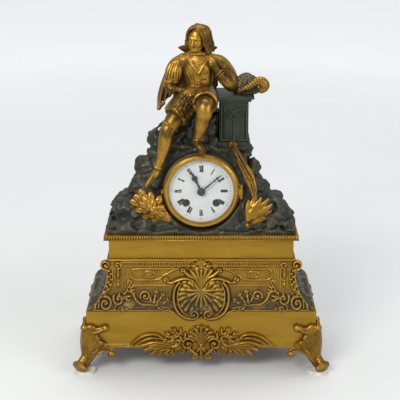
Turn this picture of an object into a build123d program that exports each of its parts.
from build123d import *
import math
import os

# Figural mantel clock: a seated figure on a rock mound round an eight-day movement, on a stepped base.
# Millimetres. Origin at the bottom centre, front towards -Y, up is +Z. "Left" is the viewer's left.

# Base, from the floor up
pad_radius = 13.5
pad_thickness = 5.0
foot_height = 65.0
plinth_lift = 34.0
lower_width = 302.0
lower_depth = 136.0
lower_height = 50.4
middle_height = 67.6
middle_flare = 27.0
upper_width = 238.0
upper_depth = 100.0
upper_height = 26.0
moulding_height = 6.0
moulding_overhang = 6.5
base_wall = 4.0
deck_thickness = 4.0
mount_thickness = 3.2

# Rock, pedestal and figure
rock_height = 109.0
rock_width = 244.0
rock_depth = 101.0
rock_wall = 6.0
crown_height = 40.0
pedestal_width = 42.0
pedestal_depth = 48.0
pedestal_height = 66.0
pedestal_offset = 41.6
sitting_height = 114.0
hat_radius = 13.5
leaf_thickness = 2.4

# Dial, bezel and back
dial_lift = 55.0
dial_radius = 43.2
dial_thickness = 2.4
dial_front_depth = 36.0
sight_radius = 41.6
bezel_radius = 49.2
bezel_thickness = 6.6
glass_thickness = 1.5
glass_rise = 6.0
case_bore = 44.3
sleeve_radius = 44.1
sleeve_wall = 0.6
rear_depth = 46.0
hinge_knuckle = 1.7
hinge_pin = 0.8
door_thickness = 2.0
door_rise = 7.0

# Movement plates
plate_radius = 42.9
plate_thickness = 2.0
plate_gap = 34.0
front_plate_depth = 26.0
pillar_radius = 2.1
arbor_radius = 0.8
pivot_radius = 0.6
winding_radius = 2.4
square_side = 2.9
beat_arbor_lift = 36.0
winding_spread = 19.5
winding_drop = 16.0
winding_hole = 4.6

# Trains
barrel_teeth = 60
barrel_leaves = 10
barrel_pitch_radius = 17.2
barrel_depth = 16.0
intermediate_teeth = 48
centre_leaves = 6
intermediate_reach = 15.12
centre_teeth = 72
third_leaves = 6
third_reach = 14.1
third_teeth = 66
escape_leaves = 6
escape_reach = 12.18
escape_teeth = 38
escape_radius = 11.0
escape_lift = 20.0
second_teeth = 54
pin_leaves = 6
pin_reach = 14.4
pin_wheel_teeth = 48
warning_leaves = 6
warning_reach = 10.72
warning_teeth = 42
fly_leaves = 6
fly_reach = 7.7
cannon_teeth = 12
minute_teeth = 36
minute_leaves = 10
hour_teeth = 40
motion_reach = 10.08
wheel_thickness = 1.2
pinion_length = 3.2

# Fits, taken from the measured size on each side
running_fit = 0.06
clear_gap = 0.35
cut_overrun = 5.0

# Other small furniture
rod_radius = 1.1
bob_radius = 17.0
bob_thickness = 8.0
bell_radius = 28.0
bell_depth = 17.0
bell_wall = 1.6
hammer_reach = 38.0
hammer_head = 3.0
lever_reach = 39.0
count_radius = 11.5
hand_thickness = 0.7
minute_hand_length = 37.0
hour_hand_length = 28.0
ratchet_radius = 5.2
click_length = 9.0
pendulum_plane = 20.0
gravity_mm = 9806.65
seconds_per_hour = 3600.0

# Smaller sizes of the base
foot_x = 153.0
foot_y = 70.0
toe_radius = 5.0
wing_thickness = 4.0
edge_inset = 1.5
middle_lip = 2.5
moulding_band = 9.0
shell_size = 21.0
shell_rise = 15.0
shell_lobes = 9
shell_turn = 200.0
shell_sweep = 220.0
oval_size = 9.0
ear_size = 7.5
apron_width = 158.0
apron_low = 18.0
apron_height = 44.0
tie_radius = 2.0
tie_spread = 88.0
nut_height = 3.5
nut_width = 8.0

# Smaller sizes of the group
crag_corners = 20
bezel_gap = 1.2
seat_margin = 0.8
seat_depth = 8.0
pedestal_front = 20.0
panel_sink = 1.6
hat_shift = 17.0
hat_depth_place = 4.0
figure_x = -8.0
figure_y = 6.0
foliage_lift = 35.0
foliage_depth = 43.0
foliage_length = 24.0
spray_shift = 4.0
leaf_lean = 12.0
left_leaves = 9
left_leaf_turns = (-170.0, 150.0)
right_leaves = 8
right_leaf_turns = (-140.0, 165.0)
stem_radius = 5.0
stem_length = 24.0
stalk_radius = 4.6

# Shares: level outlines and tables, each of the size that its function names
slot_share = 1.9
slot_depth_share = 1.1
edge_share = 0.1
round_share = 0.45
side_flare_share = 0.5
side_panel_share = 0.78
oval_place_share = 0.27
crag_square_share = 0.6
crag_rough_share = 0.05
roof_share = 0.9
foliage_spread_share = 0.2623
leaf_root_share = 0.25
leaf_belly_share = 0.45
leaf_vary_share = 0.22
leaf_width_share = 0.42
toe_share = 0.19
joint_share = 0.96
seat_front_share = 0.13
shell_shares = ((0.0, 0.86), (0.5, 1.0))
shell_foot_shares = ((0.4, -0.6), (-0.4, -0.6))
flare_shares = ((0.0, 1.0), (0.07, 0.9), (0.18, 0.5), (0.38, 0.2), (0.65, 0.04), (1.0, 0.0))
panel_shares = ((0.0, 0.98), (0.93, 0.98), (0.98, 0.84), (0.9, 0.66), (1.0, 0.42), (1.04, 0.2), (0.86, 0.08),
                (0.6, 0.16), (0.4, 0.06), (0.0, 0.02))
apron_shares = ((0.0, 0.2), (0.2, 0.12), (0.3, 0.34), (0.55, 0.2), (0.8, 0.36), (1.0, 0.42), (0.97, 0.62),
                (0.75, 0.56), (0.5, 0.5), (0.32, 0.7), (0.14, 0.86), (0.0, 1.0))
scroll_shares = ((0.92, 0.52, 0.17), (0.45, 0.34, 0.14), (0.27, 0.62, 0.13))
foot_shares = ((0.0, 0.07, 0.2, 0.17), (0.12, 0.13, 0.2, 0.16), (0.3, -0.02, 0.13, 0.14),
               (0.48, -0.02, 0.17, 0.2), (0.72, 0.0, 0.2, 0.27), (0.92, -0.03, 0.16, 0.26),
               (1.0, -0.06, 0.08, 0.16))
wing_shares = ((0.02, 0.45), (0.02, 1.0), (-0.22, 0.98), (-0.42, 0.94), (-0.5, 0.82), (-0.42, 0.72),
               (-0.26, 0.72), (-0.2, 0.56))
mound_shares = ((0.0, 1.0, 1.0, 1.0, 0.92), (0.11, 0.975, 0.965, 0.93, 0.92), (0.21, 0.955, 0.91, 0.82, 0.92),
                (0.32, 0.85, 0.86, 0.74, 0.92), (0.41, 0.74, 0.71, 0.68, 0.92), (0.51, 0.7, 0.68, 0.66, 0.92),
                (0.72, 0.64, 0.6, 0.6, 0.92), (0.87, 0.54, 0.585, 0.55, 0.92), (1.0, 0.46, 0.54, 0.46, 0.92))
crown_shares = ((0.95, 0.46, 0.14, 0.36, 0.8), (1.22, 0.45, 0.145, 0.32, 0.8),
                (1.6, 0.43, 0.14, 0.27, 0.79), (2.0, 0.42, 0.15, 0.22, 0.79))
torso_shares = ((-0.02, -0.02, 0.0, 0.245, 0.19), (-0.01, -0.05, 0.105, 0.23, 0.185),
                (0.03, -0.05, 0.22, 0.16, 0.125), (0.05, -0.05, 0.3, 0.127, 0.096),
                (0.05, -0.07, 0.41, 0.14, 0.105), (0.04, -0.08, 0.55, 0.167, 0.11),
                (0.026, -0.07, 0.62, 0.15, 0.088), (0.035, -0.08, 0.667, 0.07, 0.06))
neck_shares = ((0.035, -0.08, 0.63, 0.055), (0.035, -0.1, 0.72, 0.05), (0.03, -0.11, 0.8, 0.055))
head_shares = ((0.026, -0.123, 0.851, 0.079, 0.092, 0.11), (0.044, -0.06, 0.855, 0.137, 0.11, 0.145),
               (0.053, -0.1, 0.65, 0.13, 0.105, 0.04), (0.035, -0.01, 0.675, 0.22, 0.03, 0.08))
left_upper_shares = ((-0.14, -0.06, 0.6, 0.092), (-0.22, -0.053, 0.526, 0.088), (-0.28, -0.044, 0.42, 0.075),
                     (-0.294, -0.044, 0.316, 0.061))
left_fore_shares = ((-0.294, -0.05, 0.307, 0.057), (-0.263, -0.14, 0.28, 0.048), (-0.22, -0.2, 0.29, 0.04))
left_hand_shares = (-0.205, -0.212, 0.288, 0.048, 0.04, 0.037)
right_upper_shares = ((0.21, -0.06, 0.605, 0.088), (0.3, -0.044, 0.553, 0.088), (0.377, -0.044, 0.45, 0.075),
                      (0.412, -0.088, 0.289, 0.057))
right_fore_shares = ((0.412, -0.096, 0.295, 0.055), (0.325, -0.149, 0.38, 0.05), (0.237, -0.184, 0.465, 0.044))
right_hand_shares = (0.215, -0.188, 0.478, 0.042, 0.037, 0.05)
left_thigh_shares = ((-0.05, -0.09, 0.1, 0.114), (-0.193, -0.228, 0.044, 0.123), (-0.3, -0.333, -0.09, 0.097),
                     (-0.31, -0.35, -0.15, 0.088))
left_calf_shares = ((-0.316, -0.35, -0.13, 0.086), (-0.333, -0.368, -0.254, 0.084),
                    (-0.37, -0.395, -0.395, 0.057), (-0.408, -0.43, -0.535, 0.04))
left_shoe_shares = ((-0.412, -0.43, -0.57, 0.044), (-0.474, -0.49, -0.658, 0.042),
                    (-0.544, -0.544, -0.72, 0.026))
right_thigh_shares = ((0.09, -0.09, 0.105, 0.114), (0.105, -0.246, 0.167, 0.127),
                      (0.11, -0.4, 0.184, 0.118), (0.105, -0.49, 0.175, 0.079))
right_calf_shares = ((0.096, -0.465, 0.15, 0.075), (0.079, -0.456, 0.026, 0.075),
                     (0.044, -0.447, -0.096, 0.057), (0.024, -0.44, -0.219, 0.04))
right_shoe_shares = ((0.022, -0.42, -0.263, 0.044), (0.053, -0.456, -0.303, 0.04),
                     (0.088, -0.49, -0.329, 0.026))
cape_shares = ((-0.12, 0.193, 0.0, 0.31, 0.07), (-0.1, 0.184, 0.15, 0.3, 0.061), (-0.05, 0.14, 0.325, 0.265, 0.053),
               (0.0, 0.105, 0.5, 0.254, 0.044), (0.026, 0.07, 0.64, 0.22, 0.035))
plume_shares = ((0.24, 0.55, 0.18), (0.42, 0.9, 0.37), (0.62, 1.2, 0.41), (0.78, 1.05, 0.37), (0.84, 0.6, 0.22))
stalk_shares = ((0.8, 0.53, 1.2), (1.05, 0.7, 0.66), (1.22, 0.8, 0.3), (1.38, 0.9, -0.05))

# Smaller sizes of the case furniture
knuckle_length = 9.0
ring_inset = 1.4
bezel_roll = 4.2
lip_width = 1.0
glass_fit = 0.1
sleeve_length = 22.0
dial_foot_radius = 1.2
dial_foot_reach = 36.0
dial_foot_angles = (35.0, 145.0, 270.0)
rear_flange = 2.0
rear_sleeve = 8.0
door_band = 4.0
strap_thickness = 1.0
strap_width = 8.0
strap_lap = 8.0
screw_radius = 1.5

# Smaller sizes of the movement
great_thickness = 2.0
barrel_inset = 0.9
barrel_wall = 1.0
spoke_width = 1.1
centre_arbor_radius = 1.2
cannon_radius = 1.9
cannon_length = 1.7
hour_pipe_radius = 2.6
hand_boss = 1.5
hand_width = 3.0
cross_size = 3.4
hour_turn = -26.0
minute_turn = 49.0
stud_radius = 0.9
pillar_reach = 39.5
ratchet_thickness = 1.4
ratchet_teeth = 16
click_ring = 1.9
click_lean = 70.0
cock_spread = 9.0
cock_bar = 3.0
cock_pin = 5.0
anchor_gap = 1.3
anchor_spread = 8.0
pallet_width = 1.5
crutch_thickness = 1.4
crutch_length = 32.0
prong_width = 1.0
lifting_pins = 8
pin_radius = 0.35
pin_length = 1.5
count_notch = 0.9
fly_reach_out = 4.0
fly_vane = 0.25
arm_width = 1.6
hammer_gap = 0.8
bell_y = 27.0
stand_width = 2.4
nut_drop = 5.0

# Heights of the stack
lower_z = plinth_lift
middle_z = lower_z + lower_height
upper_z = middle_z + middle_height
moulding_z = upper_z + upper_height
rock_z = moulding_z + moulding_height
dial_z = rock_z + dial_lift
ledge_z = rock_z + rock_height
seat_z = ledge_z + crown_height
beat_z = dial_z + beat_arbor_lift

# Depths of the movement, measured along Y
dial_front = -dial_front_depth
dial_back = dial_front + dial_thickness
plate_front = -front_plate_depth
plate_inner = plate_front + plate_thickness
back_inner = plate_inner + plate_gap
back_outer = back_inner + plate_thickness
seat_face = dial_back - clear_gap

# Depths of the smaller pieces
sleeve_end = dial_front + sleeve_length
bezel_hinge_x = bezel_radius + hinge_knuckle + clear_gap
bezel_hinge_y = dial_front - clear_gap - bezel_thickness * 0.4
back_hinge_y = rear_depth + rear_flange + clear_gap + hinge_knuckle * 0.8
ratchet_y = plate_front - clear_gap * 2 - ratchet_thickness
motion_y = plate_front - clear_gap * 2 - wheel_thickness
cannon_y = plate_front - clear_gap - cannon_length
hour_wheel_y = motion_y - clear_gap * 2 - wheel_thickness
hour_hand_y = dial_front - hand_thickness * 3
minute_hand_y = hour_hand_y - hand_thickness * 2
count_y = back_outer + clear_gap * 2
crutch_y = back_outer + clear_gap
arm_y = count_y + wheel_thickness * 3
cock_y = pendulum_plane + rod_radius * 1.6

# Shares of the plates' gap where the wheels stand, and other shares of the movement
great_share = 0.06
intermediate_share = 0.68
centre_share = 0.77
third_wheel_share = 0.855
escape_share = 0.24
second_share = 0.68
pin_share = 0.35
warning_share = 0.5
fly_low_share = 0.62
fly_high_share = 0.92
hub_share = 0.3
rim_share = 2.6
escape_rim_share = 0.78
ratchet_depth_share = 0.16
plume_forward_share = 0.9
plume_lift_share = 1.0
bell_shares = ((1.0, 0.0), (0.97, 0.25), (0.86, 0.55), (0.62, 0.82), (0.3, 0.96), (0.0, 1.0))
hand_shares = ((-0.5, 0.0), (-0.3, 0.7), (0.0, 1.0), (0.3, 0.7), (0.5, 0.0), (0.0, -0.16))
cross_place_share = 0.68
cross_shares = ((-1.0, -0.25), (-0.25, -0.25), (-0.25, -1.0), (0.25, -1.0), (0.25, -0.25), (1.0, -0.25),
                (1.0, 0.25), (0.25, 0.25), (0.25, 1.0), (-0.25, 1.0), (-0.25, 0.25), (-1.0, 0.25))

# The pendulum's length follows from the beats that the train counts in an hour
beats_per_hour = 2 * escape_teeth * centre_teeth / third_leaves * third_teeth / escape_leaves
pendulum_length = gravity_mm * (seconds_per_hour / beats_per_hour / math.pi) ** 2

# Tooth form shares of the module, and of one tooth's pitch
addendum_share = 0.8
dedendum_share = 1.3
tooth_root_share = 0.3


def polar(reach, degrees):
    """A point in the dial plane, as X and Z from its centre."""
    return (reach * math.cos(math.radians(degrees)), reach * math.sin(math.radians(degrees)))


def along(start, reach, degrees):
    """A point at a distance and a direction from another point of the dial plane."""
    step = polar(reach, degrees)
    return (start[0] + step[0], start[1] + step[1])


def heading(start, end):
    """The direction from one arbor to another, in radians."""
    return math.atan2(end[1] - start[1], end[0] - start[0])


def crossing(first, first_reach, second, second_reach):
    """The arbor place at two given distances from two others, on the left of their line."""
    line = math.dist(first, second)
    share = (first_reach ** 2 - second_reach ** 2 + line ** 2) / (2 * line)
    rise = math.sqrt(first_reach ** 2 - share ** 2)
    ux, uz = (second[0] - first[0]) / line, (second[1] - first[1]) / line
    return (first[0] + share * ux - rise * uz, first[1] + share * uz + rise * ux)


def meshed(phase, teeth, start, end, other_teeth):
    """The phase of a wheel whose gap faces a tooth of the wheel that drives it."""
    turn = heading(start, end)
    pitches = (turn - phase) / (2 * math.pi / teeth)
    return turn + math.pi + (pitches + 0.5) * 2 * math.pi / other_teeth


# Arbor places in the dial plane
centre = (0.0, 0.0)
going_arbor = (winding_spread, -winding_drop)
strike_arbor = (-winding_spread, -winding_drop)
barrel_module = 2 * barrel_pitch_radius / barrel_teeth
barrel_reach = barrel_pitch_radius + barrel_module * barrel_leaves / 2
intermediate = crossing(centre, intermediate_reach, going_arbor, barrel_reach)
escape = (0.0, escape_lift)
beat_arbor = (0.0, beat_arbor_lift)
third = crossing(centre, third_reach, escape, escape_reach)
strike_angles = {"second": 103.0, "pin": 73.0, "warning": 45.0, "fly": 130.0, "hammer": 145.0,
                 "lever": 165.0}
second = along(strike_arbor, barrel_reach, strike_angles["second"])
pin_arbor = along(second, pin_reach, strike_angles["pin"])
warning = along(pin_arbor, warning_reach, strike_angles["warning"])
fly_arbor = along(warning, fly_reach, strike_angles["fly"])
minute_arbor = (0.0, motion_reach)
hammer_arbor = polar(hammer_reach, strike_angles["hammer"])
count_arbor = polar(lever_reach, strike_angles["lever"])
pillar_angles = (23.0, 60.0, 157.0, 270.0)


def drum(place, radius, start, end):
    """A cylinder along Y between two depths, at a place in the dial plane."""
    body = Rot(90, 0, 0) * Cylinder(radius, end - start)
    return Pos(place[0], (start + end) / 2, dial_z + place[1]) * body


def tube(place, outer, inner, start, end):
    """A ring along Y between two depths."""
    return drum(place, outer, start, end) - drum(place, inner, start - cut_overrun, end + cut_overrun)


def cuboid(low, high):
    """A box between two corners."""
    size = [high[i] - low[i] for i in range(3)]
    middle = [(high[i] + low[i]) / 2 for i in range(3)]
    return Pos(*middle) * Box(*size)


def egg(middle, sizes):
    """An ellipsoid from its middle and its three half sizes."""
    return Pos(*middle) * scale(Sphere(1), by=tuple(sizes))


def plate(points, start, end):
    """A flat piece in the dial plane, from its outline in X and Z and its two depths."""
    wire = Wire.make_polygon([Vector(x, start, z) for x, z in points], close=True)
    return extrude(Face(wire), amount=end - start, dir=(0, 1, 0))


def limb(stations):
    """A smooth tapered piece through round stations, each a middle and a radius."""
    faces = []
    last = len(stations) - 1
    whole = Vector(*stations[last][:3]) - Vector(*stations[0][:3])
    lengths = [abs(whole.X), abs(whole.Y), abs(whole.Z)]
    reference = Vector(*[1.0 if i == lengths.index(min(lengths)) else 0.0 for i in range(3)])
    for i, station in enumerate(stations):
        before = Vector(*stations[max(i - 1, 0)][:3])
        after = Vector(*stations[min(i + 1, last)][:3])
        ahead = after - before
        section = Plane(origin=station[:3], x_dir=ahead.cross(reference), z_dir=ahead)
        faces.append(section * Circle(station[3]))
    return loft(faces)


def stack(stations):
    """A smooth upright piece through level ellipses, each a middle and two half sizes."""
    return loft([Pos(x, y, z) * Ellipse(a, b) for x, y, z, a, b in stations])


def both_sides(piece):
    """A piece and its mirror image across the middle plane."""
    return piece + mirror(piece, about=Plane.YZ)


# Base

def foot_pads():
    """The four pale discs under the feet."""
    pad = Pos(foot_x, foot_y, pad_thickness / 2) * Cylinder(pad_radius, pad_thickness)
    right = pad + mirror(pad, about=Plane.XZ)
    return both_sides(right)


def lower_box(grow):
    """The outer block of the lower plinth."""
    x, y = lower_width / 2 + grow, lower_depth / 2 + grow
    return cuboid((-x, -y, lower_z), (x, y, middle_z))


def pendulum_slot(low, high):
    """The opening through a deck that the pendulum swings in."""
    reach = bob_radius * slot_share
    front = pendulum_plane - bob_thickness * slot_depth_share
    back = pendulum_plane + bob_thickness * slot_depth_share
    return cuboid((-reach, front, low), (reach, back, high))


def lower_plinth():
    """A hollow box open below, with a moulded lower edge."""
    edge = lower_height * edge_share
    block = lower_box(-edge_inset)
    x, y = lower_width / 2, lower_depth / 2
    rim = cuboid((-x, -y, lower_z), (x, y, lower_z + edge))
    top_edges = rim.edges().filter_by(Axis.Z, reverse=True).group_by(Axis.Z)[-1]
    block += chamfer(top_edges, edge_inset * 0.9)
    inner = lower_box(-edge_inset - base_wall) - cuboid(
        (-x, -y, middle_z - deck_thickness), (x, y, middle_z + cut_overrun))
    block -= inner
    return block - pendulum_slot(lower_z, middle_z + cut_overrun) - tie_holes()


def flare(half_top, growth, low, high, along_x):
    """The concave block seen along one level axis, as long as the base is wide."""
    right = [(half_top + growth * out, low + (high - low) * up) for up, out in flare_shares]
    reach = lower_width

    def lay(point, sign):
        across, height = sign * point[0], point[1]
        return Vector(reach, across, height) if along_x else Vector(across, reach, height)

    right_line = [lay(p, 1) for p in right]
    left_line = [lay(p, -1) for p in right]
    edges = [
        Edge.make_spline(right_line),
        Edge.make_line(right_line[-1], left_line[-1]),
        Edge.make_spline(left_line[::-1]),
        Edge.make_line(left_line[0], right_line[0]),
    ]
    direction = (-1, 0, 0) if along_x else (0, -1, 0)
    return extrude(Face(Wire(edges)), amount=2 * reach, dir=direction)


def flared_block(outset):
    """The concave middle block, swollen or shrunk level by an amount."""
    front = flare(upper_width / 2 + middle_lip + outset, middle_flare, middle_z, upper_z, False)
    side = flare(upper_depth / 2 + middle_lip + outset, middle_flare * side_flare_share,
                 middle_z, upper_z, True)
    return front & side


def middle_plinth():
    """A hollow concave block with a deck."""
    x, y = lower_width, lower_depth
    deck = cuboid((-x, -y, upper_z - deck_thickness), (x, y, upper_z + cut_overrun))
    inner = flared_block(-base_wall) - deck
    return flared_block(0) - inner - pendulum_slot(middle_z, upper_z + cut_overrun) - tie_holes()


def upper_plinth():
    """A plain hollow box with a deck."""
    x, y = upper_width / 2, upper_depth / 2
    block = cuboid((-x, -y, upper_z), (x, y, moulding_z))
    inner = cuboid((base_wall - x, base_wall - y, upper_z), (x - base_wall, y - base_wall,
                                                            moulding_z - deck_thickness))
    return block - inner - pendulum_slot(upper_z, moulding_z + cut_overrun) - tie_holes()


def gadroon_moulding():
    """A rounded frame on the upper plinth, open in the middle."""
    x, y = upper_width / 2 + moulding_overhang, upper_depth / 2 + moulding_overhang
    frame = cuboid((-x, -y, moulding_z), (x, y, rock_z))
    frame = fillet(frame.edges().filter_by(Axis.Z, reverse=True), moulding_height * round_share)
    inner_x, inner_y = upper_width / 2 - moulding_band, upper_depth / 2 - moulding_band
    return frame - cuboid((-inner_x, -inner_y, moulding_z - cut_overrun),
                          (inner_x, inner_y, rock_z + cut_overrun))


def from_shares(shares, width, low, height):
    """Outline points in the dial plane, from shares of a width and a height."""
    return [(x * width, low + z * height) for x, z in shares]


def front_panel():
    """The front mount: it follows the concave block, with two oval bosses and a central shell."""
    skin = flared_block(mount_thickness) - flared_block(0)
    right = from_shares(panel_shares, upper_width / 2, middle_z, middle_height)
    left = [(-x, z) for x, z in right[::-1]]
    mount = skin & plate(right + left, -lower_depth, -upper_depth * 0.3)
    boss_y = -upper_depth / 2 - middle_lip
    for side in (-1, 1):
        middle = (side * oval_place_share * upper_width, boss_y, middle_z + middle_height * 0.5)
        mount += egg(middle, (oval_size * 1.5, oval_size * 0.75, oval_size))
    mount += egg((0, boss_y - shell_rise * 0.2, middle_z + middle_height * 0.45),
                 (shell_size, shell_rise, shell_size * 1.2))
    mount += shell_fan((0, middle_z + middle_height * 0.5), shell_size, boss_y - shell_rise, shell_rise * 0.6)
    return mount - flared_block(0) - lower_box(0)


def shell_fan(place, size, front, depth):
    """A scalloped fan of lobes round a place in the dial plane."""
    corners = []
    for lobe in range(shell_lobes):
        for step, reach in shell_shares:
            angle = math.radians(shell_turn - shell_sweep * (lobe + step) / shell_lobes)
            corners.append((place[0] + reach * size * math.cos(angle),
                            place[1] + reach * size * math.sin(angle)))
    corners += [(place[0] + x * size, place[1] + z * size) for x, z in shell_foot_shares]
    return plate(corners, front, front + depth)


def side_panels():
    """The two side mounts, with the small ears that stand out near the top."""
    skin = flared_block(mount_thickness) - flared_block(0)
    reach = upper_depth / 2 * side_panel_share
    low, high = middle_z + middle_height * 0.08, middle_z + middle_height * 0.97
    right = skin & cuboid((upper_width * 0.3, -reach, low), (lower_width, reach, high))
    ear_x = upper_width / 2 + middle_lip
    right += egg((ear_x, 0, high - ear_size), (ear_size, reach, ear_size))
    right -= flared_block(0)
    return both_sides(right)


def apron_mount():
    """The mount under the front edge: a shell between two tapered scrolls."""
    front = -lower_depth / 2 - mount_thickness
    back = -lower_depth / 2
    span = apron_width / 2
    points = [(x * span, apron_low + z * apron_height) for x, z in apron_shares]
    mount = both_sides(plate(points, front, back))
    for share, height_share, size in scroll_shares:
        scroll = drum((share * span, 0), size * apron_height, front - mount_thickness / 2, back)
        scroll = Pos(0, 0, apron_low + height_share * apron_height - dial_z) * scroll
        mount += both_sides(scroll)
    shell = shell_fan((0, apron_low + apron_height * 0.45), apron_height * 0.42,
                      front - mount_thickness, 2 * mount_thickness)
    mount += shell
    return mount - lower_box(0)


def scroll_foot():
    """The front right foot: a bulging leaf over the plinth's corner, drawn in above a toe."""
    corner = Vector(lower_width / 2, -lower_depth / 2, 0)
    outward = Vector(1, -1, 0).normalized()
    sections = []
    for height, out, deep, wide in foot_shares:
        middle = corner + outward * (out * foot_height)
        level = Plane(origin=(middle.X, middle.Y, pad_thickness + height * foot_height),
                      x_dir=outward, z_dir=(0, 0, 1))
        sections.append(level * Ellipse(deep * foot_height, wide * foot_height))
    foot = loft(sections)
    wing = from_shares(wing_shares, foot_height, pad_thickness, foot_height)
    for turned in (False, True):
        leaf = extrude(Face(Wire.make_polygon([Vector(x, 0, z) for x, z in wing], close=True)),
                       amount=wing_thickness, dir=(0, -1, 0))
        if turned:
            leaf = Rot(0, 0, 90) * mirror(leaf, about=Plane.YZ)
        foot += Pos(corner.X, corner.Y, 0) * leaf
    toe = corner + outward * (toe_share * foot_height)
    roll = Cylinder(toe_radius, toe_radius * 2.2, rotation=(90, 0, 45))
    foot += Pos(toe.X, toe.Y, pad_thickness + toe_radius) * roll
    return foot - lower_box(0) - floor_block()


def floor_block():
    """Everything below the top of the pads."""
    reach = lower_width
    return cuboid((-reach, -reach, -reach), (reach, reach, pad_thickness))


def tie_holes():
    """The holes through the decks for the tie rods."""
    high = moulding_z + cut_overrun
    hole = Pos(tie_spread, 0, (lower_z + high) / 2) * Cylinder(tie_radius + running_fit, high - lower_z)
    return both_sides(hole)


def tie_rods():
    """Two rods through the three decks, with a nut under the lowest and one over the highest."""
    low, high = middle_z - deck_thickness - nut_height, moulding_z + nut_height
    rod = Pos(tie_spread, 0, (low + high) / 2) * Cylinder(tie_radius, high - low)
    for z in (middle_z - deck_thickness - nut_height / 2, moulding_z + nut_height / 2):
        nut = extrude(RegularPolygon(nut_width / 2, 6), amount=nut_height)
        rod += Pos(tie_spread, 0, z - nut_height / 2) * nut
    return both_sides(rod)


# Rock, pedestal and figure

def crag_height(share):
    """A height on the rock: up to 1 within the mound, and from 1 to 2 within the crown."""
    if share <= 1:
        return rock_z + share * rock_height
    return ledge_z + (share - 1) * crown_height


def crag(level, shrink):
    """One rough level outline of the mound, drawn in by a wall thickness."""
    height, left, right, front, back = level
    corners = []
    across_scale, deep_scale = rock_width / 2, rock_depth / 2
    for i in range(crag_corners):
        angle = 2 * math.pi * (i + 0.5) / crag_corners
        across = math.copysign(abs(math.cos(angle)) ** crag_square_share, math.cos(angle))
        deep = math.copysign(abs(math.sin(angle)) ** crag_square_share, math.sin(angle))
        rough = 1 - crag_rough_share * abs(math.sin(2.3 * i + 9 * height))
        half_x = (right if across > 0 else left) * across_scale - shrink
        half_y = (back if deep > 0 else front) * deep_scale - shrink
        rough = 1 if deep > 0 else rough
        corners.append(Vector(across * half_x * rough, deep * half_y * rough, crag_height(height)))
    return Wire.make_polygon(corners, close=True)


def crag_loft(levels, shrink):
    """A rough faceted solid through level outlines."""
    return Solid.make_loft([crag(level, shrink) for level in levels], ruled=True)


def rock_solid():
    """The outside of the mound with its crown, before it is hollowed."""
    return crag_loft(mound_shares, 0) + crag_loft(crown_shares, 0)


def rock_mound():
    """The hollow mound, with a turned seat for the dial and a bore from front to back."""
    rock = rock_solid()
    rock -= drum(centre, bezel_radius + bezel_gap, -rock_depth, seat_face)
    rock += drum(centre, bezel_radius + seat_margin, seat_face, seat_face + seat_depth) - floor_of_rock()
    low = (-cut_overrun / rock_height,) + mound_shares[0][1:]
    roof = [level for level in mound_shares if level[0] < roof_share]
    rock -= crag_loft([low] + roof, rock_wall)
    rock -= drum(centre, case_bore, -rock_depth, rock_depth)
    back = rock_depth
    return rock - cuboid((-rock_width, rear_depth, rock_z), (rock_width, back, seat_z + crown_height))


def floor_of_rock():
    """Everything below the foot of the mound."""
    return cuboid((-rock_width, -rock_depth, lower_z), (rock_width, rock_depth, rock_z))


def pedestal():
    """A small gothic pedestal: stepped foot, panel with an arch over two lancets, and a cornice."""
    x, w, d = pedestal_offset, pedestal_width / 2, pedestal_depth
    front, back = -pedestal_front, pedestal_depth - pedestal_front
    top = ledge_z + pedestal_height
    foot_top = ledge_z + pedestal_height * 0.1
    cornice = top - pedestal_height * 0.16
    inset = w * 0.12
    body = cuboid((x - w + inset, front + inset, foot_top), (x + w - inset, back - inset, cornice))
    body += cuboid((x - w, front, ledge_z), (x + w, back, foot_top))
    steps = 3
    for i in range(steps):
        out = w * 0.16 * i
        low = cornice + (top - cornice) * i / steps
        high = cornice + (top - cornice) * (i + 1) / steps
        body += cuboid((x - w - out + inset, front - out + inset, low),
                       (x + w + out - inset, back + out - inset, high))
    panel = pedestal_height * 0.56
    base = foot_top + pedestal_height * 0.07
    body -= pointed_arch(x, base, w * 0.62, panel, front, front + inset + panel_sink)
    body += bar_between(x, base, w * 0.05, panel * 0.62, front + inset + panel_sink * 0.2)
    for side in (-1, 1):
        body -= pointed_arch(x + side * w * 0.32, base, w * 0.2, panel * 0.6,
                             front, front + inset + panel_sink * 2)
    return body


def bar_between(x, low, half, height, front):
    """The upright bar between two lancets."""
    return cuboid((x - half, front, low), (x + half, front + panel_sink, low + height))


def pointed_arch(x, low, half, height, front, back):
    """A pointed opening: straight sides under two arcs that meet in a point."""
    spring = low + height - half * 1.6
    right, left = Vector(x + half, front, spring), Vector(x - half, front, spring)
    point = Vector(x, front, low + height)
    bulge = half * 0.72
    edges = [
        Edge.make_line(Vector(x - half, front, low), Vector(x + half, front, low)),
        Edge.make_line(Vector(x + half, front, low), right),
        Edge.make_three_point_arc(right, Vector(x + bulge, front, spring + half * 0.9), point),
        Edge.make_three_point_arc(point, Vector(x - bulge, front, spring + half * 0.9), left),
        Edge.make_line(left, Vector(x - half, front, low)),
    ]
    return extrude(Face(Wire(edges)), amount=back - front, dir=(0, 1, 0))


def hat_solid():
    """A soft round hat: a domed crown over a narrow brim."""
    base = ledge_z + pedestal_height
    x, y = pedestal_offset + hat_shift, hat_depth_place
    dome = egg((x, y, base + hat_radius * 0.7), (hat_radius * 0.92, hat_radius * 0.92, hat_radius * 1.25))
    brim = Pos(x, y, base + hat_radius * 0.11) * Cylinder(hat_radius, hat_radius * 0.22)
    below = cuboid((0, -rock_depth, ledge_z), (rock_width, rock_depth, base))
    return dome + brim - below


def figure_point(share):
    """A point of the figure, from shares of its sitting height."""
    return (figure_x + share[0] * sitting_height, figure_y + share[1] * sitting_height,
            seat_z + share[2] * sitting_height)


def figure_limb(shares):
    """A round tapered piece of the figure."""
    return limb([figure_point(s) + (s[3] * sitting_height,) for s in shares])


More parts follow.
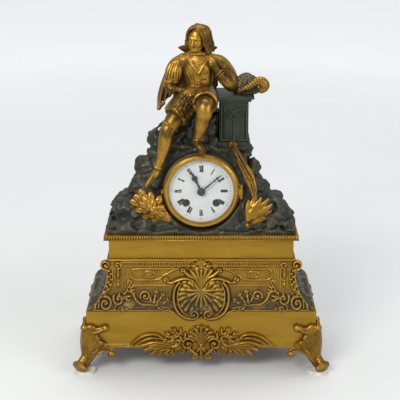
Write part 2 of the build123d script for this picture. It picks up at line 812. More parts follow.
def figure_stack(shares):
    """An upright piece of the figure, through level ellipses."""
    return stack([figure_point(s) + (s[3] * sitting_height, s[4] * sitting_height) for s in shares])


def figure_egg(share):
    """An ellipsoid of the figure."""
    return egg(figure_point(share), [s * sitting_height for s in share[3:]])


def seat_block():
    """The space under the seat, which the thighs lie on."""
    return cuboid((-rock_width, -rock_depth * seat_front_share, ledge_z), (rock_width, rock_depth, seat_z))


def figure_torso():
    """Doublet, belt and short skirt, seated on the crown of the rock."""
    return figure_stack(torso_shares)


def figure_head(torso, arms):
    """Head, long hair, ruff and standing collar."""
    head = figure_limb(neck_shares)
    for share in head_shares:
        head += figure_egg(share)
    for arm in arms:
        head -= arm
    return head - torso


def figure_arm(upper, fore, hand, torso):
    """One sleeve, from the shoulder to the hand."""
    arm = figure_limb(upper) + figure_limb(fore) + figure_egg(hand)
    elbow = upper[-1]
    arm += Pos(*figure_point(elbow)) * Sphere(elbow[3] * joint_share * sitting_height)
    return arm - torso


def figure_leg(thigh, calf, shoe, torso):
    """One leg: full hose over the thigh, calf and shoe."""
    leg = figure_limb(thigh) + figure_limb(calf) + figure_limb(shoe)
    for joint in (thigh[-1], calf[-1]):
        leg += Pos(*figure_point(joint)) * Sphere(joint[3] * joint_share * sitting_height)
    return leg - torso - seat_block()


def figure_cape(others):
    """The short cape that hangs from the shoulders behind, clear of the pedestal."""
    cape = figure_stack(cape_shares)
    for other in others:
        cape -= other
    beside = pedestal_offset - pedestal_width / 2 - clear_gap
    return cape - cuboid((beside, -rock_depth, ledge_z),
                         (rock_width, rock_depth, ledge_z + pedestal_height * 0.84))


def leaf(length, width):
    """One pointed leaf, standing up from its stem end."""
    tip = Vector(0, 0, length)
    stem = Vector(0, 0, 0)
    belly = length * leaf_belly_share
    edges = [
        Edge.make_three_point_arc(stem, Vector(width / 2, 0, belly), tip),
        Edge.make_three_point_arc(tip, Vector(-width / 2, 0, belly), stem),
    ]
    return extrude(Face(Wire(edges)), amount=leaf_thickness, dir=(0, 1, 0))


def leaf_fan(place, turns, count):
    """Leaves that spread from one place, each leaning forward, with a boss behind that seats them on the rock."""
    x, y, z = place[0], -foliage_depth, place[1]
    fan = Pos(x, y + leaf_thickness, z) * Sphere(foliage_length * leaf_root_share)
    for i in range(count):
        turn = turns[0] + (turns[1] - turns[0]) * i / (count - 1)
        size = foliage_length * (1.0 - leaf_vary_share * (i % 2))
        blade = Rot(0, turn, 0) * Rot(leaf_lean, 0, 0) * leaf(size, foliage_length * leaf_width_share)
        fan += Pos(x, y, z) * blade
    boss = Cylinder(stem_radius, stem_length, rotation=(90, 0, 0))
    return fan + Pos(x, y + stem_length / 2, z) * boss


def foliage_left(rock):
    """The broad leaf cluster left of the dial."""
    place = (-rock_width * foliage_spread_share, rock_z + foliage_lift)
    cluster = leaf_fan(place, left_leaf_turns, left_leaves)
    cluster -= drum(centre, bezel_radius + bezel_gap, -rock_depth, seat_face + seat_depth)
    cluster -= rock
    return cluster.solids().sort_by(SortBy.VOLUME)[-1]


def leaf_spray_right(rock):
    """The stalk right of the dial, above its spray of long leaves."""
    place = (rock_width * foliage_spread_share + spray_shift, rock_z + foliage_lift)
    cluster = leaf_fan(place, right_leaf_turns, right_leaves)
    stalk = limb([(x * bezel_radius, -y * bezel_radius, dial_z + z * bezel_radius, stalk_radius)
                  for x, y, z in stalk_shares])
    cluster += stalk
    cluster -= drum(centre, bezel_radius + bezel_gap, -rock_depth, seat_face + seat_depth)
    swing = bezel_hinge_x + bezel_thickness * 0.6 + bezel_gap
    cluster -= cuboid((0, -rock_depth, rock_z),
                      (swing, bezel_hinge_y + hinge_knuckle, dial_z + bezel_radius * 0.3))
    return cluster - rock


def plume():
    """The curled feather on the hat."""
    x, base = pedestal_offset + hat_shift, ledge_z + pedestal_height
    stations = [(x + (across - 0.5) * 3 * hat_radius, hat_depth_place - hat_radius * plume_forward_share,
                 base + up * hat_radius * plume_lift_share, thick * hat_radius)
                for across, up, thick in plume_shares]
    return limb(stations) - hat_solid()


# Dial, bezel and doors

def revolve_profile(points):
    """A ring or dish about the dial's axis, from points of radius and depth."""
    wire = Wire.make_polygon([Vector(r, y, dial_z) for r, y in points], close=True)
    return revolve(Face(wire), axis=Axis((0, 0, dial_z), (0, 1, 0)))


def knuckle(x, y, low, high):
    """A hinge knuckle with its bore."""
    length = high - low
    ring = Cylinder(hinge_knuckle, length) - Cylinder(hinge_pin + running_fit, length + cut_overrun)
    return Pos(x, y, (low + high) / 2) * ring


def fixed_hinge(x, y, face, flange):
    """The pin and the outer knuckles of a hinge, on a lug of a fixed ring."""
    half = knuckle_length / 2
    reach = half + clear_gap + knuckle_length * 0.5
    near, far = sorted((face, flange))
    lug = cuboid((x - hinge_knuckle * 3, near, dial_z - reach), (x + hinge_knuckle, far, dial_z + reach))
    piece = lug + Pos(x, y, dial_z) * Cylinder(hinge_pin, 2 * reach)
    for side in (-1, 1):
        low, high = sorted((dial_z + side * (half + clear_gap), dial_z + side * reach))
        post_low, post_high = sorted((y, face))
        post = cuboid((x - hinge_knuckle * 0.6, post_low, low), (x + hinge_knuckle, post_high, high))
        piece += Pos(x, y, (low + high) / 2) * Cylinder(hinge_knuckle, high - low) + post
    return piece


def door_hinge(x, y, edge):
    """The middle knuckle of a hinge and the tab that joins it to its door."""
    half = knuckle_length / 2
    tab = cuboid((edge - hinge_knuckle, y - hinge_knuckle * 0.7, dial_z - half),
                 (x, y + hinge_knuckle * 0.7, dial_z + half))
    tab -= Pos(x, y, dial_z) * Cylinder(hinge_knuckle * 0.9, knuckle_length + cut_overrun)
    return tab + knuckle(x, y, dial_z - half, dial_z + half)


def front_ring():
    """The fixed ring: a flange on the rock, a sleeve through it, and the bezel's hinge."""
    inner = sleeve_radius - sleeve_wall
    ring = revolve_profile(((inner, dial_front), (bezel_radius - ring_inset, dial_front),
                            (bezel_radius - ring_inset, seat_face), (sleeve_radius, seat_face),
                            (sleeve_radius, sleeve_end), (inner, sleeve_end),
                            (inner, plate_front), (plate_radius - lip_width, plate_front),
                            (plate_radius - lip_width, plate_front - lip_width),
                            (inner, plate_front - lip_width)))
    return ring + fixed_hinge(bezel_hinge_x, bezel_hinge_y, dial_front, seat_face)


def bezel_door():
    """The hinged bezel, stepped and rounded, with a rebate for the glass and a small catch."""
    back = dial_front - clear_gap
    front = back - bezel_thickness
    ring = revolve_profile(((sight_radius, back), (bezel_radius, back),
                            (bezel_radius, back - bezel_thickness * 0.35),
                            (bezel_radius - ring_inset, back - bezel_thickness * 0.75),
                            (sight_radius + bezel_roll, front), (sight_radius + ring_inset, front),
                            (sight_radius, back - bezel_thickness * 0.65)))
    catch = Pos(-bezel_radius - hinge_knuckle * 0.5, back - bezel_thickness * 0.3, dial_z) * Cylinder(
        hinge_knuckle * 0.8, knuckle_length * 0.6)
    catch = catch + cuboid((-bezel_radius - hinge_knuckle, back - bezel_thickness * 0.35, dial_z - hinge_knuckle),
                           (-bezel_radius + hinge_knuckle, back, dial_z + hinge_knuckle))
    return ring + catch + door_hinge(bezel_hinge_x, bezel_hinge_y, bezel_radius)


def glass_dish(edge, rise, thickness, rim, direction):
    """A shallow domed dish about the dial's axis."""
    curve = (edge ** 2 + rise ** 2) / (2 * rise)
    bow = curve - math.sqrt(curve ** 2 - (edge / 2) ** 2)
    top, under = rim + direction * (rise + thickness), rim + direction * rise
    edges = [
        Edge.make_three_point_arc(Vector(edge, rim, dial_z), Vector(edge / 2, under - direction * bow, dial_z),
                                  Vector(0, under, dial_z)),
        Edge.make_line(Vector(0, under, dial_z), Vector(0, top, dial_z)),
        Edge.make_three_point_arc(Vector(0, top, dial_z),
                                  Vector(edge / 2, top - direction * bow, dial_z),
                                  Vector(edge, rim + direction * thickness, dial_z)),
        Edge.make_line(Vector(edge, rim + direction * thickness, dial_z), Vector(edge, rim, dial_z)),
    ]
    return revolve(Face(Wire(edges)), axis=Axis((0, 0, dial_z), (0, 1, 0)))


def bezel_glass():
    """The domed glass in the bezel."""
    rim = dial_front - clear_gap - bezel_thickness * 0.4
    return glass_dish(sight_radius - glass_fit, glass_rise, glass_thickness, rim, -1)


def dial():
    """The enamel disc, with its feet, winding holes and the hole for the hands."""
    disc = drum(centre, dial_radius, dial_front, dial_back)
    disc = fillet(disc.edges().group_by(Axis.Y)[0], dial_thickness * 0.35)
    for angle in dial_foot_angles:
        disc += drum(polar(dial_foot_reach, angle), dial_foot_radius, dial_back - clear_gap, plate_front)
    for place in (going_arbor, strike_arbor):
        disc -= drum(place, winding_hole, dial_front - cut_overrun, dial_back + cut_overrun)
    return disc - drum(centre, hour_pipe_radius + clear_gap * 2, dial_front - cut_overrun,
                       dial_back + cut_overrun)


def hand_blade(width, length, turn, start):
    """A tapered hand with a ring round its axis."""
    blade = plate([(x * width, dial_z + z * length) for x, z in hand_shares], start, start + hand_thickness)
    return Pos(0, 0, dial_z) * Rot(0, turn, 0) * Pos(0, 0, -dial_z) * blade


def hour_hand():
    """The hour hand, with a pierced cross near its point."""
    hub = drum(centre, hour_pipe_radius + hand_boss, hour_hand_y, hour_hand_y + hand_thickness)
    blade = hand_blade(hand_width, hour_hand_length, hour_turn, hour_hand_y)
    cross = plate([(x * cross_size, dial_z + hour_hand_length * cross_place_share + z * cross_size)
                   for x, z in cross_shares], hour_hand_y, hour_hand_y + hand_thickness)
    blade += Pos(0, 0, dial_z) * Rot(0, hour_turn, 0) * Pos(0, 0, -dial_z) * cross
    return (blade + hub) - drum(centre, hour_pipe_radius, hour_hand_y - cut_overrun, hour_hand_y + cut_overrun)


def minute_hand():
    """The minute hand, with its boss and the nut in front."""
    hub = drum(centre, cannon_radius + hand_boss, minute_hand_y, minute_hand_y + hand_thickness)
    blade = hand_blade(hand_width * 0.7, minute_hand_length, minute_turn, minute_hand_y)
    return (blade + hub) - drum(centre, cannon_radius, minute_hand_y - cut_overrun, minute_hand_y + cut_overrun)


def rear_ring():
    """The ring behind the rock, with a sleeve into it and the back door's hinge."""
    inner = sleeve_radius - sleeve_wall
    face = rear_depth + rear_flange
    ring = revolve_profile(((inner, rear_depth - rear_sleeve), (sleeve_radius, rear_depth - rear_sleeve),
                            (sleeve_radius, rear_depth), (bezel_radius - ring_inset, rear_depth),
                            (bezel_radius - ring_inset, face), (inner, face)))
    return ring + fixed_hinge(bezel_hinge_x, back_hinge_y, face, rear_depth)


def back_door():
    """The hinged back cover: a flat rim round a shallow dome, with a small knob."""
    rim = rear_depth + rear_flange + clear_gap
    out = rim + door_thickness
    edge = bezel_radius - ring_inset * 0.5
    cover = tube(centre, edge, sleeve_radius - door_band, rim, out)
    cover += glass_dish(sleeve_radius - door_band + clear_gap, door_rise, door_thickness, rim, 1)
    cover += drum((-sleeve_radius * 0.8, 0), hinge_knuckle, out - clear_gap, out + knuckle_length * 0.5)
    return cover + door_hinge(bezel_hinge_x, back_hinge_y, edge)


def case_straps():
    """The two straps that tie the front ring to the rear ring."""
    inner = sleeve_radius - sleeve_wall
    strap = cuboid((inner - clear_gap - strap_thickness, sleeve_end - strap_lap, dial_z - strap_width / 2),
                   (inner - clear_gap, rear_depth - clear_gap, dial_z + strap_width / 2))
    for y in (sleeve_end - strap_lap / 2, rear_depth - rear_sleeve / 2):
        strap += Pos(inner - strap_thickness, y, dial_z) * Rot(0, 90, 0) * Cylinder(
            screw_radius, 2 * strap_thickness - 2 * running_fit)
    return both_sides(strap)


# Wheels

def level(share):
    """A depth between the plates, from its share of their gap."""
    return plate_inner + share * plate_gap


def gear(place, teeth, module, phase, start, thickness):
    """A toothed disc: two root corners and one point to each tooth."""
    pitch_radius = teeth * module / 2
    root, tip = pitch_radius - dedendum_share * module, pitch_radius + addendum_share * module
    step = 2 * math.pi / teeth
    corners = []
    for tooth in range(teeth):
        for turn, radius in ((-tooth_root_share, root), (0, tip), (tooth_root_share, root)):
            angle = phase + (tooth + turn) * step
            corners.append((place[0] + radius * math.cos(angle), dial_z + place[1] + radius * math.sin(angle)))
    return plate(corners, start, start + thickness)


def ratchet(place, teeth, tip, start, thickness):
    """A disc of saw teeth, each steep on one side."""
    corners = []
    for tooth in range(teeth):
        for turn, radius in ((0.0, tip), (0.9, tip * (1 - ratchet_depth_share))):
            angle = 2 * math.pi * (tooth + turn) / teeth
            corners.append((place[0] + radius * math.cos(angle), dial_z + place[1] + radius * math.sin(angle)))
    return plate(corners, start, start + thickness)


def crossed(place, rim, start, thickness):
    """The window ring that is cut from a wheel, all but its four spokes."""
    window = tube(place, rim, rim * hub_share, start - cut_overrun, start + thickness + cut_overrun)
    for turn in (0, 90):
        bar = Rot(0, turn + 45, 0) * Box(2 * rim + cut_overrun, 4 * cut_overrun + thickness, spoke_width)
        window -= Pos(place[0], start + thickness / 2, dial_z + place[1]) * bar
    return window


def wheel(place, teeth, module, phase, share, thickness=None):
    """A crossed-out wheel at a share of the gap."""
    thickness = thickness or wheel_thickness
    rim = teeth * module / 2 - (dedendum_share + rim_share) * module
    start = level(share)
    return gear(place, teeth, module, phase, start, thickness) - crossed(place, rim, start, thickness)


def pinion(place, leaves, module, phase, share, mate_thickness=None):
    """A pinion centred on the plane of the wheel that it meets."""
    mate_thickness = mate_thickness or wheel_thickness
    start = level(share) + mate_thickness / 2 - pinion_length / 2
    return gear(place, leaves, module, phase, start, pinion_length)


def arbor(place, behind=0.0):
    """A steel arbor between the plates with a pivot in each, longer behind when something sits there."""
    body = drum(place, arbor_radius, plate_inner + clear_gap, back_inner - clear_gap)
    return body + drum(place, pivot_radius, plate_front + clear_gap, back_outer + behind)


def module_table():
    """The module of each pair of wheel and pinion, from its distance and its teeth."""
    return {
        "barrel": barrel_module,
        "intermediate": 2 * intermediate_reach / (intermediate_teeth + centre_leaves),
        "centre": 2 * third_reach / (centre_teeth + third_leaves),
        "third": 2 * escape_reach / (third_teeth + escape_leaves),
        "second": 2 * pin_reach / (second_teeth + pin_leaves),
        "pin": 2 * warning_reach / (pin_wheel_teeth + warning_leaves),
        "warning": 2 * fly_reach / (warning_teeth + fly_leaves),
        "cannon": 2 * motion_reach / (cannon_teeth + minute_teeth),
        "hour": 2 * motion_reach / (minute_leaves + hour_teeth),
    }


modules = module_table()


def barrel(place, phase):
    """A spring barrel: great wheel, drum, cover, and the bore for its arbor."""
    start = level(great_share)
    body = gear(place, barrel_teeth, modules["barrel"], phase, start, great_thickness)
    outer = barrel_pitch_radius - barrel_inset
    body += drum(place, outer, start + great_thickness, start + great_thickness + barrel_depth)
    body -= drum(place, outer - barrel_wall, start + great_thickness, start + barrel_depth)
    return body - drum(place, winding_radius + running_fit, level(0), back_inner)


def winding_arbor(place):
    """The arbor through a barrel: pivot, body, ratchet and winding square."""
    body = drum(place, winding_radius, ratchet_y, back_inner - clear_gap)
    body += drum(place, winding_radius * 0.7, back_inner - cut_overrun, back_outer + clear_gap)
    body += ratchet(place, ratchet_teeth, ratchet_radius, ratchet_y, ratchet_thickness)
    front = dial_front + dial_thickness * 0.4
    square = cuboid((place[0] - square_side / 2, front, dial_z + place[1] - square_side / 2),
                    (place[0] + square_side / 2, ratchet_y, dial_z + place[1] + square_side / 2))
    return body + square


def click_place(place, side):
    """Where a click turns, outward and above its ratchet."""
    return along(place, click_length, 90.0 - side * click_lean)


def click(place, side):
    """A click: a ring on its stud and a beak that stops just short of the ratchet."""
    stud = click_place(place, side)
    body = drum(stud, click_ring, ratchet_y, ratchet_y + ratchet_thickness)
    inner = ratchet_radius + clear_gap
    reach = click_length - inner
    beak = cuboid((-reach, ratchet_y, -click_ring / 2), (0, ratchet_y + ratchet_thickness, click_ring / 2))
    turn = math.degrees(heading(stud, place)) + 180.0
    body += Pos(stud[0], 0, dial_z + stud[1]) * Rot(0, -turn, 0) * beak
    body -= drum(place, inner, ratchet_y - cut_overrun, ratchet_y + cut_overrun)
    return body - drum(stud, stud_radius + running_fit, ratchet_y - cut_overrun, ratchet_y + cut_overrun)


def pivot_holes():
    """Every arbor pivot that runs in a plate."""
    places = (intermediate, centre, third, escape, second, pin_arbor, warning, fly_arbor, hammer_arbor,
              beat_arbor)
    holes = drum(places[0], pivot_radius + running_fit, plate_front - cut_overrun, back_outer + cut_overrun)
    for place in places[1:]:
        holes += drum(place, pivot_radius + running_fit, plate_front - cut_overrun, back_outer + cut_overrun)
    return holes


def front_plate():
    """The front plate with its pillars and the studs on its front."""
    disc = drum(centre, plate_radius, plate_front, plate_inner) - pivot_holes()
    disc -= drum(centre, centre_arbor_radius + running_fit, plate_front - cut_overrun, plate_inner + cut_overrun)
    for angle in pillar_angles:
        disc += drum(polar(pillar_reach, angle), pillar_radius, plate_inner, back_inner)
    disc += drum(minute_arbor, stud_radius, motion_y - pinion_length * 1.1, plate_front)
    for side, place in ((1, going_arbor), (-1, strike_arbor)):
        disc -= drum(place, winding_radius + running_fit, plate_front - cut_overrun, plate_inner + cut_overrun)
        disc += drum(click_place(place, side), stud_radius, ratchet_y, plate_front)
    return disc


def back_plate():
    """The back plate with the cock that carries the pendulum, and the stud of the count lever."""
    disc = drum(centre, plate_radius, back_inner, back_outer) - pivot_holes()
    for place in (going_arbor, strike_arbor):
        disc -= drum(place, winding_radius * 0.7 + running_fit, back_inner - cut_overrun,
                     back_outer + cut_overrun)
    reach, up = cock_spread, beat_z
    for side in (-1, 1):
        disc += cuboid((side * reach - cock_bar / 2, back_outer, up),
                       (side * reach + cock_bar / 2, cock_y, up + cock_bar))
    disc += cuboid((-reach - cock_bar / 2, cock_y, up - cock_bar / 2),
                   (reach + cock_bar / 2, cock_y + cock_bar / 2, up + cock_bar))
    disc += drum(beat_arbor, rod_radius, cock_y - cock_pin, cock_y)
    disc += drum(count_arbor, stud_radius, back_outer, count_y + 2 * wheel_thickness)
    inner = sleeve_radius - sleeve_wall
    notch_x = inner - 2 * clear_gap - strap_thickness
    for side in (-1, 1):
        low, high = sorted((side * notch_x, side * (plate_radius + cut_overrun)))
        disc -= cuboid((low, back_inner - clear_gap, dial_z - strap_width / 2 - clear_gap),
                       (high, back_outer + clear_gap, dial_z + strap_width / 2 + clear_gap))
    return disc


def anchor():
    """The anchor over the escape wheel, its arbor, and the crutch behind the back plate."""
    start = level(escape_share)
    body = arbor(beat_arbor, behind=crutch_y + crutch_thickness - back_outer)
    radius = escape_radius + anchor_gap
    reach = anchor_spread
    inner = tube(escape, radius + pallet_width, radius, start, start + wheel_thickness)
    span = cuboid((-reach, start - clear_gap, dial_z + escape_lift + radius * 0.6),
                  (reach, start + wheel_thickness + clear_gap, dial_z + beat_arbor_lift))
    body += inner & span
    body += drum(beat_arbor, arbor_radius * 2.6, start, start + wheel_thickness)
    stem = (beat_arbor_lift - escape_lift) - radius
    body += cuboid((-pallet_width / 2, start, dial_z + escape_lift + radius),
                   (pallet_width / 2, start + wheel_thickness, dial_z + escape_lift + radius + stem))
    body += drum(beat_arbor, arbor_radius * 2.4, crutch_y, crutch_y + crutch_thickness)
    low = beat_z - crutch_length
    body += cuboid((-pallet_width / 2, crutch_y, low), (pallet_width / 2, crutch_y + crutch_thickness, beat_z))
    prong_x = rod_radius + clear_gap
    for side in (-1, 1):
        a, b = sorted((side * prong_x, side * (prong_x + prong_width)))
        body += cuboid((a, crutch_y, low - prong_width), (b, pendulum_plane + rod_radius, low + prong_width))
    body += cuboid((-prong_x - prong_width, crutch_y, low - prong_width),
                   (prong_x + prong_width, crutch_y + crutch_thickness, low + prong_width))
    return body


def escape_wheel():
    """The escape wheel: saw teeth, crossings and its pinion."""
    start = level(escape_share)
    phase = meshed(phases["third"], third_teeth, third, escape, escape_leaves)
    body = ratchet(escape, escape_teeth, escape_radius, start, wheel_thickness)
    body -= crossed(escape, escape_radius * escape_rim_share, start, wheel_thickness)
    body += pinion(escape, escape_leaves, modules["third"], phase, third_wheel_share)
    return body + arbor(escape)


def train_wheel(place, teeth, module, share, leaves, pinion_module, pinion_phase, pinion_share, mate=None):
    """One arbor of a train: its wheel, its pinion and its pivots."""
    body = wheel(place, teeth, module, 0.0, share)
    body += pinion(place, leaves, pinion_module, pinion_phase, pinion_share, mate)
    return body + arbor(place)


def centre_wheel():
    """The centre wheel, its pinion and the long arbor that carries the cannon pinion."""
    phase = meshed(phases["intermediate"], intermediate_teeth, intermediate, centre, centre_leaves)
    body = wheel(centre, centre_teeth, modules["centre"], phases["centre"], centre_share)
    body += pinion(centre, centre_leaves, modules["intermediate"], phase, intermediate_share)
    body += drum(centre, pivot_radius, back_inner - cut_overrun, back_outer)
    return body + drum(centre, centre_arbor_radius, minute_hand_y - hand_thickness, back_inner - clear_gap)


def cannon_pinion():
    """The cannon pinion: a pipe over the centre arbor that carries the minute hand."""
    body = gear(centre, cannon_teeth, modules["cannon"], phases["cannon"], cannon_y, cannon_length)
    body += drum(centre, cannon_radius, minute_hand_y, cannon_y + cannon_length)
    return body - drum(centre, centre_arbor_radius + running_fit, minute_hand_y - cut_overrun, plate_front)


def minute_wheel():
    """The minute wheel and its pinion, on a stud beside the cannon pinion."""
    phase = meshed(phases["cannon"], cannon_teeth, centre, minute_arbor, minute_teeth)
    body = gear(minute_arbor, minute_teeth, modules["cannon"], phase, motion_y, wheel_thickness)
    body += gear(minute_arbor, minute_leaves, modules["hour"], phases["minute"], hour_wheel_y - clear_gap,
                 motion_y - hour_wheel_y + clear_gap)
    return body - drum(minute_arbor, stud_radius + running_fit, dial_front, plate_front)


def hour_wheel():
    """The hour wheel and its pipe, which turns on the cannon pinion's pipe."""
    phase = meshed(phases["minute"], minute_leaves, minute_arbor, centre, hour_teeth)
    body = gear(centre, hour_teeth, modules["hour"], phase, hour_wheel_y, wheel_thickness)
    body += drum(centre, hour_pipe_radius, hour_hand_y, hour_wheel_y)
    return body - drum(centre, cannon_radius + running_fit, hour_hand_y - cut_overrun, plate_front)


def pin_wheel():
    """The pin wheel: its rim carries the pins that lift the hammer."""
    phase = meshed(0.0, second_teeth, second, pin_arbor, pin_leaves)
    body = train_wheel(pin_arbor, pin_wheel_teeth, modules["pin"], pin_share, pin_leaves, modules["second"],
                       phase, second_share)
    start = level(pin_share)
    for i in range(lifting_pins):
        place = along(pin_arbor, pin_circle(), 360.0 * i / lifting_pins)
        body += drum(place, pin_radius, start - pin_length, start + wheel_thickness)
    return body


def second_wheel():
    """The strike second wheel, with the count wheel on its long rear pivot."""
    phase = meshed(0.0, barrel_teeth, strike_arbor, second, barrel_leaves)
    body = train_wheel(second, second_teeth, modules["second"], second_share, barrel_leaves,
                       modules["barrel"], phase, great_share, great_thickness)
    return body + drum(second, pivot_radius, back_outer, count_y + wheel_thickness) + count_wheel()


def count_wheel():
    """The count wheel: a disc notched at the end of each hour's blows."""
    disc = drum(second, count_radius, count_y, count_y + wheel_thickness)
    blows = [hour + 1 for hour in range(1, 13)]
    total, passed = sum(blows), 0
    for blow in blows:
        angle = 360.0 * passed / total
        place = along(second, count_radius, angle)
        notch = Box(count_notch * 2, 2 * cut_overrun, count_notch, rotation=(0, -angle, 0))
        disc -= Pos(place[0], count_y, dial_z + place[1]) * notch
        passed += blow
    return disc


def count_lever():
    """The lever whose beak waits at the edge of the count wheel."""
    body = drum(count_arbor, click_ring, count_y, count_y + wheel_thickness)
    turn = math.degrees(heading(count_arbor, second))
    reach = math.dist(count_arbor, second) - count_radius - clear_gap
    beak = cuboid((0, count_y, -click_ring * 0.3),
                  (reach + click_ring, count_y + wheel_thickness, click_ring * 0.3))
    body += Pos(count_arbor[0], 0, dial_z + count_arbor[1]) * Rot(0, -turn, 0) * beak
    body -= drum(second, count_radius + clear_gap, count_y - cut_overrun, count_y + cut_overrun)
    return body - drum(count_arbor, stud_radius + running_fit, count_y - cut_overrun, count_y + cut_overrun)


def fly():
    """The fly: a pinion and two thin vanes that pace the strike."""
    phase = meshed(0.0, warning_teeth, warning, fly_arbor, fly_leaves)
    body = pinion(fly_arbor, fly_leaves, modules["warning"], phase, warning_share) + arbor(fly_arbor)
    x, z = fly_arbor[0], dial_z + fly_arbor[1]
    return body + cuboid((x - fly_reach_out, level(fly_low_share), z - fly_vane),
                         (x + fly_reach_out, level(fly_high_share), z + fly_vane))


def pin_circle():
    """The radius on the pin wheel where its lifting pins stand."""
    return pin_wheel_teeth * modules["pin"] / 2 - (dedendum_share + rim_share * 0.5) * modules["pin"]


def hammer_tail():
    """The tail that the lifting pins raise: it ends just outside their circle."""
    reach = math.dist(hammer_arbor, pin_arbor) - pin_circle() - pin_radius - clear_gap
    start = level(pin_share) - pin_length
    tail = cuboid((0, start, -arm_width / 2), (reach, start + pin_length * 0.6, arm_width / 2))
    turn = math.degrees(heading(hammer_arbor, pin_arbor))
    return Pos(hammer_arbor[0], 0, dial_z + hammer_arbor[1]) * Rot(0, -turn, 0) * tail


def hammer():
    """The hammer: an arbor, a tail by the pin wheel, and an arm that carries the head to the bell."""
    body = arbor(hammer_arbor, behind=arm_y + wheel_thickness - back_outer)
    x, z = hammer_arbor[0], dial_z + hammer_arbor[1]
    body += drum(hammer_arbor, arbor_radius * 2, arm_y, arm_y + wheel_thickness)
    body += hammer_tail()
    finger_x = -bell_radius - hammer_gap - hammer_head
    arm_x = min(x, finger_x)
    body += cuboid((arm_x - arm_width / 2, arm_y, dial_z), (arm_x + arm_width, arm_y + wheel_thickness, z))
    body += cuboid((finger_x - arm_width / 2, arm_y, dial_z - arm_width / 2),
                   (finger_x + arm_width / 2, bell_y + hammer_head, dial_z + arm_width / 2))
    head = Cylinder(hammer_head * 0.8, 2 * hammer_head, rotation=(0, 90, 0))
    return body + Pos(finger_x, bell_y + hammer_head, dial_z) * head


def bell():
    """The bell: a domed cup open to the front."""
    outer = [(bell_radius * across, bell_y + bell_depth * deep) for across, deep in bell_shares]
    edges = [Edge.make_spline([Vector(r, y, dial_z) for r, y in outer])]
    inner = [(max(r - bell_wall, 0), y - bell_wall * share[1]) for (r, y), share in zip(outer, bell_shares)]
    edges.append(Edge.make_line(Vector(0, outer[-1][1], dial_z), Vector(0, inner[-1][1], dial_z)))
    edges.append(Edge.make_spline([Vector(r, y, dial_z) for r, y in inner[::-1]]))
    edges.append(Edge.make_line(Vector(inner[0][0], inner[0][1], dial_z),
                                Vector(outer[0][0], outer[0][1], dial_z)))
    cup = revolve(Face(Wire(edges)), axis=Axis((0, 0, dial_z), (0, 1, 0)))
    return cup - drum(centre, stud_radius + running_fit, bell_y, bell_y + bell_depth + cut_overrun)


def bell_stand():
    """The stand: a post on the back plate, a cross bar inside the bell, and its stud and nut."""
    foot = (bell_radius * 0.36, -bell_radius * 0.8)
    bar_y = bell_y + bell_wall
    post = drum(foot, stud_radius * 1.4, back_outer, bar_y)
    turn = math.degrees(heading(centre, foot))
    reach = math.dist(centre, foot)
    bar = cuboid((-stand_width / 2, bar_y, -stand_width / 2),
                 (reach + stand_width / 2, bar_y + stand_width, stand_width / 2))
    post += Pos(0, 0, dial_z) * Rot(0, -turn, 0) * bar
    crown = bell_y + bell_depth
    post += drum(centre, stud_radius, bar_y, crown + clear_gap)
    post += drum(centre, stud_radius * 2, bar_y, crown - bell_wall * 2)
    return post + drum(centre, stud_radius * 1.8, crown + running_fit, crown + wheel_thickness)


def pendulum():
    """The pendulum: an eye on the cock's pin, a rod, a lens bob and its rating nut."""
    eye = tube(beat_arbor, rod_radius * 2.6, rod_radius + running_fit, pendulum_plane - rod_radius,
               pendulum_plane + rod_radius)
    low = beat_z - pendulum_length - bob_radius - nut_drop
    rod = cuboid((-rod_radius * 0.8, pendulum_plane - rod_radius * 0.8, low),
                 (rod_radius * 0.8, pendulum_plane + rod_radius * 0.8, beat_z - rod_radius * 2))
    bob_z = beat_z - pendulum_length
    half = bob_thickness / 2
    points = ((0, -half), (bob_radius * 0.6, -half * 0.7), (bob_radius, -half * 0.2), (bob_radius, half * 0.2),
              (bob_radius * 0.6, half * 0.7), (0, half))
    wire = Wire.make_polygon([Vector(r, pendulum_plane + y, bob_z) for r, y in points], close=True)
    bob = revolve(Face(wire), axis=Axis((0, 0, bob_z), (0, 1, 0)))
    nut = Pos(0, pendulum_plane, low + nut_drop / 2) * Cylinder(rod_radius * 2, nut_drop * 0.5)
    return eye + rod + bob + nut


# Where each wheel's teeth stand at rest
phases = {"intermediate": 0.0, "centre": 0.0, "third": 0.0, "cannon": 0.0, "minute": 0.0}


def going_train():
    """The going train as named pieces."""
    first = meshed(0.0, barrel_teeth, going_arbor, intermediate, barrel_leaves)
    third_phase = meshed(phases["centre"], centre_teeth, centre, third, third_leaves)
    return {
        "going_barrel": barrel(going_arbor, 0.0),
        "going_winding_arbor": winding_arbor(going_arbor),
        "going_click": click(going_arbor, 1),
        "intermediate_wheel": train_wheel(intermediate, intermediate_teeth, modules["intermediate"],
                                          intermediate_share, barrel_leaves, modules["barrel"], first,
                                          great_share, great_thickness),
        "centre_wheel": centre_wheel(),
        "third_wheel": train_wheel(third, third_teeth, modules["third"], third_wheel_share, third_leaves,
                                   modules["centre"], third_phase, centre_share),
        "escape_wheel": escape_wheel(),
        "anchor": anchor(),
        "pendulum": pendulum(),
        "cannon_pinion": cannon_pinion(),
        "minute_wheel": minute_wheel(),
        "hour_wheel": hour_wheel(),
        "minute_hand": minute_hand(),
        "hour_hand": hour_hand(),
    }


def strike_train():
    """The strike train as named pieces."""
    warning_phase = meshed(0.0, pin_wheel_teeth, pin_arbor, warning, warning_leaves)
    return {
        "strike_barrel": barrel(strike_arbor, 0.0),
        "strike_winding_arbor": winding_arbor(strike_arbor),
        "strike_click": click(strike_arbor, -1),
        "strike_second_wheel": second_wheel(),
        "pin_wheel": pin_wheel(),
        "warning_wheel": train_wheel(warning, warning_teeth, modules["warning"], warning_share, warning_leaves,
                                     modules["pin"], warning_phase, pin_share),
        "fly": fly(),
        "count_lever": count_lever(),
        "hammer": hammer(),
        "bell": bell(),
        "bell_stand": bell_stand(),
    }


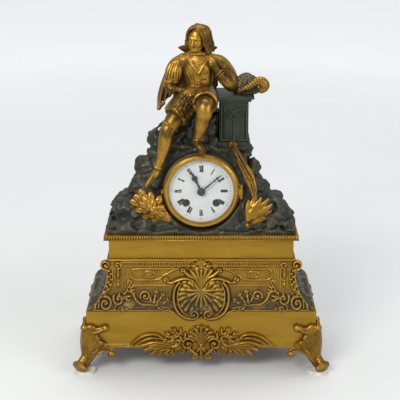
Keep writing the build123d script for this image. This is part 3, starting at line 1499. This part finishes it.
def base_pieces():
    """The stepped base with its feet and mounts."""
    pieces = {
        "lower_plinth": lower_plinth(),
        "middle_plinth": middle_plinth(),
        "upper_plinth": upper_plinth(),
        "gadroon_moulding": gadroon_moulding(),
        "front_panel": front_panel(),
        "side_panels": side_panels(),
        "apron_mount": apron_mount(),
        "tie_rods": tie_rods(),
        "foot_pads": foot_pads(),
    }
    foot = scroll_foot()
    left = mirror(foot, about=Plane.YZ)
    pieces["foot_front_right"] = foot
    pieces["foot_front_left"] = left
    pieces["foot_back_right"] = mirror(foot, about=Plane.XZ)
    pieces["foot_back_left"] = mirror(left, about=Plane.XZ)
    return pieces


def group_pieces():
    """The rock, the pedestal, the figure and the foliage."""
    rock = rock_solid() + floor_of_rock()
    torso = figure_torso()
    left_arm = figure_arm(left_upper_shares, left_fore_shares, left_hand_shares, torso)
    support, cap, feather = pedestal(), hat_solid(), plume()
    right_arm = figure_arm(right_upper_shares, right_fore_shares, right_hand_shares, torso)
    right_arm -= support + cap + feather
    head = figure_head(torso, (left_arm, right_arm))
    right_leg = figure_leg(right_thigh_shares, right_calf_shares, right_shoe_shares, torso)
    return {
        "rock_mound": rock_mound(),
        "pedestal": support,
        "hat": cap,
        "hat_plume": feather,
        "figure_torso": torso,
        "figure_head": head,
        "figure_arm_left": left_arm,
        "figure_arm_right": right_arm,
        "figure_leg_left": figure_leg(left_thigh_shares, left_calf_shares, left_shoe_shares, torso),
        "figure_leg_right": right_leg - support,
        "figure_cape": figure_cape((torso, left_arm, right_arm, head)),
        "foliage_left": foliage_left(rock),
        "leaf_spray_right": leaf_spray_right(rock),
    }


def case_pieces():
    """The rings, doors, dial and plates."""
    return {
        "front_ring": front_ring(),
        "bezel_door": bezel_door(),
        "bezel_glass": bezel_glass(),
        "dial": dial(),
        "rear_ring": rear_ring(),
        "back_door": back_door(),
        "case_straps": case_straps(),
        "front_plate": front_plate(),
        "back_plate": back_plate(),
    }


def main():
    os.makedirs("parts", exist_ok=True)
    for pieces in (base_pieces(), group_pieces(), case_pieces(), going_train(), strike_train()):
        for name, solid in pieces.items():
            export_step(solid, f"parts/{name}.step")


main()
